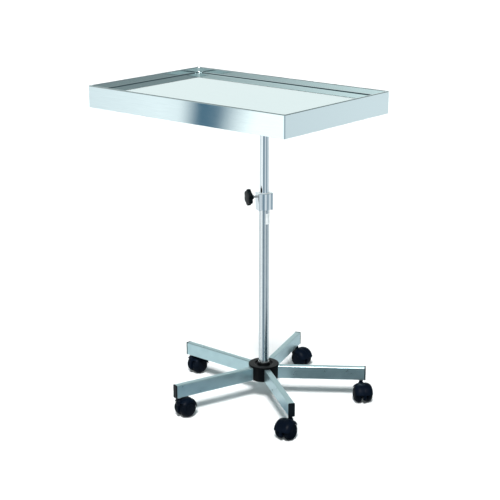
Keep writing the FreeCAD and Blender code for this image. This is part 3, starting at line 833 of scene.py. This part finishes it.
def fender_mesh(trail, height, outer):
    """The curved cover over both wheels: one domed section swept round the axle, with rounded ends."""
    crown = rounded([(0.0, outer - 0.0004), (0.0020, outer), (0.0110, outer), (0.0166, outer - 0.0019),
                     (0.0201, outer - 0.0050), (0.0218, outer - 0.0078)],
                    [0, 0.001, 0.005, 0.005, 0.003, 0], 6)
    under = rounded([(0.0, outer - 0.0038), (0.0010, outer - 0.0038), (0.0110, outer - 0.0038),
                     (0.0160, outer - 0.0051), (0.0190, outer - 0.0071), (0.0210, outer - 0.0084)],
                    [0, 0.0005, 0.004, 0.004, 0.002, 0], 6)
    outside = [Vector((-y, r)) for y, r in reversed(crown[1:])] + list(crown)
    inside = [Vector((-y, r)) for y, r in reversed(under[1:])] + list(under)
    middle = [(a + b) / 2 for a, b in zip(outside, inside)]
    rows = []
    tail, nose, steps = math.radians(8), math.radians(140), 40
    turns = [(tail + (nose - tail) * i / steps, 1.0) for i in range(steps + 1)]
    lip = math.radians(1.6)
    ends = [(0.25, 0.97), (0.6, 0.8), (0.85, 0.53), (1.0, 0.15)]
    turns = [(tail - lip * t + lip, k) for t, k in reversed(ends)] + turns[1:-1] + \
            [(nose + lip * t - lip, k) for t, k in ends]
    for angle, thick in turns:
        loop = [m + (o - m) * thick for o, m in zip(outside, middle)] + \
               [m + (i - m) * thick for i, m in reversed(list(zip(inside, middle)))]
        rows.append([(trail + r * math.cos(angle), y, height + r * math.sin(angle)) for y, r in loop])
    return skin("fender", rows)


def slab_mesh(name, outline_xz, half, edge):
    """A flat plate of that outline in XZ, half thick either side of Y = 0, with its edges eased."""
    middle = sum(outline_xz, Vector((0, 0))) / len(outline_xz)
    rows = []
    for y, inset in ((-half, edge), (-half + edge * 0.3, edge * 0.3), (-half + edge, 0), (half - edge, 0),
                     (half - edge * 0.3, edge * 0.3), (half, edge)):
        row = []
        for p in outline_xz:
            d = p - middle
            q = p - d.normalized() * inset
            row.append((q.x, y, q.y))
        rows.append(row)
    return skin(name, rows)


def hood_mesh(trail, height, outer, neck_top):
    """Fender, the web between the wheels, and the neck that turns on the stem."""
    r = outer - 0.001
    bottom = -0.0085
    start = math.asin(bottom / r)
    steps = 44
    web = [Vector((trail + r * math.cos(a), height + r * math.sin(a)))
           for a in [start + (math.pi - 2 * start) * k / steps for k in range(steps + 1)]]
    neck = rounded([(0.030, 0.0), (0.030, 0.0047), (0.0365, 0.0075), (0.0435, 0.0066), (0.0455, 0.0047),
                    (neck_top, 0.0046), (neck_top, 0.0)],
                   [0, 0.001, 0.003, 0.003, 0.0015, 0.0006, 0], 6)
    return joined("caster_hood", [fender_mesh(trail, height, outer), slab_mesh("web", web, 0.0036, 0.0009),
                                  lathe("neck", neck, segments=64)])


def wheel_mesh(name, origin, axis, inner, outer, radius):
    """A moulded wheel: flat tread, domed face with a cap line, shallow dish and a small hub eye."""
    profile = rounded(
        [(outer, 0.0), (outer, 0.0022), (outer - 0.0005, 0.0026), (outer - 0.0005, 0.0036),
         (outer - 0.0001, 0.0041), (outer - 0.0008, radius - 0.0104), (outer - 0.0016, radius - 0.0101),
         (outer - 0.0016, radius - 0.0092), (outer - 0.0010, radius - 0.0088),
         (outer - 0.0021, radius - 0.0060), (outer - 0.0056, radius - 0.0024),
         (outer - 0.0110, radius), (inner + 0.0030, radius),
         (inner, radius - 0.0026), (inner, 0.0)],
        [0, 0.0003, 0.0002, 0.0002, 0.001, 0.0003, 0.0002, 0.0002, 0.0003, 0.003, 0.005, 0.004, 0.002,
         0.002, 0], 5)
    return lathe(name, profile, origin, axis, 120)


def make_casters():
    """One cover mesh placed at every caster, and two turned wheels in each."""
    _, trail, height = caster_place(1)
    hood = hood_mesh(trail, height, HOOD_REACH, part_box("caster_1_hood")[1].z)
    for i in ARMS:
        finish_piece(placed(hood, caster_place(i)[0]), "caster_%d_cover" % i, "caster_%d_hood" % i)
        for side in ("left", "right"):
            spin = joint("caster_%d_%s_spin" % (i, side))
            node = "caster_%d_wheel_%s" % (i, side)
            axis, centre = Vector(spin["axis"]), Vector(spin["pos_m"])
            low, high, radius = reach(node, centre, axis)
            if high < -low:
                axis, low, high = -axis, -high, -low
            wheel = wheel_mesh(node + "_turned", centre, axis, low, high, radius - 0.00001)
            finish_piece(wheel, node + "_turned", node)


make_tray()
make_under_tray()
make_mast()
make_knob()
make_hub()
make_casters()

# ---------------------------------------------------------------- studio

def make_plane(name, corners, material):
    mesh = bpy.data.meshes.new(name)
    mesh.from_pydata([tuple(c) for c in corners], [], [tuple(range(len(corners)))])
    mesh.materials.append(material)
    plane = bpy.data.objects.new(name, mesh)
    bpy.context.scene.collection.objects.link(plane)
    plane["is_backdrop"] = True
    return plane


def show_in_polish_only(item):
    """Keeps it out of sight of the camera and of matt surfaces, and out of the shadows."""
    item.visible_camera = False
    item.visible_diffuse = False
    item.visible_shadow = False


# The camera stands in front of the tray's long side, turned towards its short side.
CAMERA_TURN = math.radians(39.72)
CAMERA_BACK, CAMERA_ASIDE, CAMERA_HEIGHT = 3.003, -0.034, 1.2745
CAMERA_TILT = math.radians(16.57)
CAMERA_SENSOR, CAMERA_LENS = 36.0, 93.49


def turned_about_mast(right, away, up):
    """A point given as seen by the camera: to the right of the mast, away from the camera, and up."""
    c, s = math.cos(CAMERA_TURN), math.sin(CAMERA_TURN)
    return MAST + Vector((right * c - away * s, right * s + away * c, up))


def make_floor():
    """White floor, greyer in the light it throws back than as it is seen, like a lit paper sweep."""
    material, tree, shader = new_material("white studio floor", Roughness=0.9, Specular_IOR_Level=0.1)
    where = add(tree, "ShaderNodeTexCoord").outputs["Object"]
    cloud = add(tree, "ShaderNodeTexNoise", {"Vector": where, "Scale": 1.5})
    seen = mix_colour(tree, cloud.outputs["Fac"], (0.93, 0.94, 0.94, 1), (0.95, 0.96, 0.96, 1))
    direct = add(tree, "ShaderNodeLightPath").outputs["Is Camera Ray"]
    link(tree, mix_colour(tree, direct, (0.5, 0.53, 0.53, 1), seen), shader.inputs["Base Color"])
    half = 40.0
    make_plane("floor", [(-half, -half, 0), (half, -half, 0), (half, half, 0), (-half, half, 0)], material)


# What stands round the studio, told by the tone that shows in polished metal: degrees to the right of the
# camera as the cart sees it, and how bright.
SURROUNDINGS = [(-180, 0.75), (-120, 0.85), (-88, 0.88), (-82, 1.05), (-81.1, 0.9), (-80.7, 0.02),
                (-79.2, 0.02), (-78.0, 0.25), (-76.8, 1.3), (-60, 1.25), (-48, 1.1), (-38, 0.62),
                (-26, 0.26), (-2, 0.12), (8, 0.45), (22, 0.85), (34, 0.60), (50, 0.30), (68, 0.24),
                (84, 0.60), (105, 0.80), (140, 0.70), (180, 0.75)]
BRIGHTEST = 1.3


def make_surroundings():
    """A wide ring just over the floor that only polished surfaces pick up, with a tone for each direction."""
    material, tree, shader = new_material("studio surroundings", Base_Color=(0, 0, 0, 1), Roughness=1.0,
                                          Specular_IOR_Level=0.0, Emission_Strength=BRIGHTEST)
    where = add(tree, "ShaderNodeTexCoord").outputs["Object"]
    apart = add(tree, "ShaderNodeSeparateXYZ", {"Vector": where})
    x = math_node(tree, "SUBTRACT", apart.outputs[0], MAST.x)
    y = math_node(tree, "SUBTRACT", apart.outputs[1], MAST.y)
    sums = []
    for direction in ((1, 0, 0), (0, -1, 0)):
        way = turned_about_mast(*direction) - MAST
        sums.append(math_node(tree, "MULTIPLY_ADD", x, way.x, math_node(tree, "MULTIPLY", y, way.y)))
    turn = math_node(tree, "MULTIPLY_ADD", math_node(tree, "ARCTAN2", *sums), 0.5 / math.pi, 0.5)
    curve = add(tree, "ShaderNodeFloatCurve", {"Value": turn})
    line = curve.mapping.curves[0]
    while len(line.points) > 2:
        line.points.remove(line.points[1])
    for i, (degrees, tone) in enumerate(SURROUNDINGS):
        place, tone = (degrees + 180) / 360, tone / BRIGHTEST
        if i in (0, len(SURROUNDINGS) - 1):
            line.points[0 if i == 0 else -1].location = (place, tone)
        else:
            line.points.new(place, tone)
    for point in line.points:
        point.handle_type = "VECTOR"
    curve.mapping.update()
    tint = mix_colour(tree, curve.outputs[0], (0.02, 0.09, 0.15, 1), (0.97, 1.0, 1.0, 1))
    link(tree, tint, shader.inputs["Emission Color"])
    points, faces, count = [], [], 96
    for radius in (0.05, 9.0):
        for k in range(count):
            a = 2 * math.pi * k / count
            points.append(MAST + Vector((math.cos(a), math.sin(a), 0)) * radius + Vector((0, 0, 0.003)))
    for k in range(count):
        n = (k + 1) % count
        faces.append((k, n, count + n, count + k))
    ring = bpy.data.objects.new("surroundings", mesh_from("surroundings", points, faces))
    ring.data.materials.append(material)
    bpy.context.scene.collection.objects.link(ring)
    ring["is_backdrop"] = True
    show_in_polish_only(ring)


def make_dark_card():
    """A dark card lying just over the floor, in front of the mast and to its right."""
    dark, _, _ = new_material("dark card", Base_Color=(0, 0, 0, 1), Roughness=1.0, Specular_IOR_Level=0.0,
                              Emission_Color=(0.03, 0.06, 0.08, 1), Emission_Strength=1.0)
    near, far, left, right = -0.06, -0.42, 0.05, 0.6
    corners = [turned_about_mast(*p, 0.004) for p in ((left, near), (left, far), (right, far), (right, near))]
    show_in_polish_only(make_plane("dark_card", corners, dark))


def studio_world():
    """Pale walls round the horizon, dimmer to both sides, under a dim ceiling."""
    world = bpy.data.worlds.new("studio")
    bpy.context.scene.world = world
    world.use_nodes = True
    tree = world.node_tree
    back = tree.nodes["Background"]
    where = add(tree, "ShaderNodeTexCoord").outputs["Generated"]

    def towards(right, away):
        way = tuple(turned_about_mast(right, away, 0) - MAST)
        return add(tree, "ShaderNodeVectorMath", {0: where, 1: way}, operation="DOT_PRODUCT").outputs["Value"]

    left = span(tree, towards(1, 0), -0.985, -0.945, 0.3, 0.95)
    right_side = span(tree, towards(1, 0), 0.45, 0.95, 1.0, 0.3)
    near = span(tree, towards(0, -1), 0.7, 0.95, 1.0, 0.5)
    up = add(tree, "ShaderNodeSeparateXYZ", {"Vector": where}).outputs[2]
    walls = math_node(tree, "MULTIPLY", math_node(tree, "MULTIPLY", left, right_side), near)
    tone = math_node(tree, "MULTIPLY", walls, span(tree, up, 0.38, 0.6, 1.0, 0.08))
    link(tree, mix_colour(tree, tone, (0, 0.02, 0.03, 1), (0.93, 1.0, 0.99, 1)), back.inputs["Color"])
    back.inputs["Strength"].default_value = 1.0


def make_camera():
    data = bpy.data.cameras.new("camera")
    data.sensor_width = CAMERA_SENSOR
    data.lens = CAMERA_LENS
    data.clip_start, data.clip_end = 0.05, 60.0
    camera = bpy.data.objects.new("camera", data)
    camera.location = turned_about_mast(CAMERA_ASIDE, -CAMERA_BACK, CAMERA_HEIGHT)
    camera.rotation_euler = (math.pi / 2 - CAMERA_TILT, 0, CAMERA_TURN)
    bpy.context.scene.collection.objects.link(camera)
    bpy.context.scene.camera = camera


def make_key_light():
    """One soft light from above the camera. Only the parts below the tray shade the floor."""
    data = bpy.data.lights.new("key softbox", "SUN")
    data.energy = 4.1
    data.angle = math.radians(14)
    travel = turned_about_mast(0.05, 0.62, -0.78) - MAST
    key = bpy.data.objects.new("key softbox", data)
    key.rotation_euler = travel.to_track_quat("-Z", "Y").to_euler()
    bpy.context.scene.collection.objects.link(key)
    low_parts = bpy.data.collections.new("parts that shade the floor")
    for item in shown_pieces():
        if "tray" not in body_of(item):
            low_parts.objects.link(item)
    key.light_linking.blocker_collection = low_parts


make_floor()
make_surroundings()
make_dark_card()
studio_world()
make_camera()
make_key_light()
bpy.context.scene.view_settings.view_transform = "Standard"
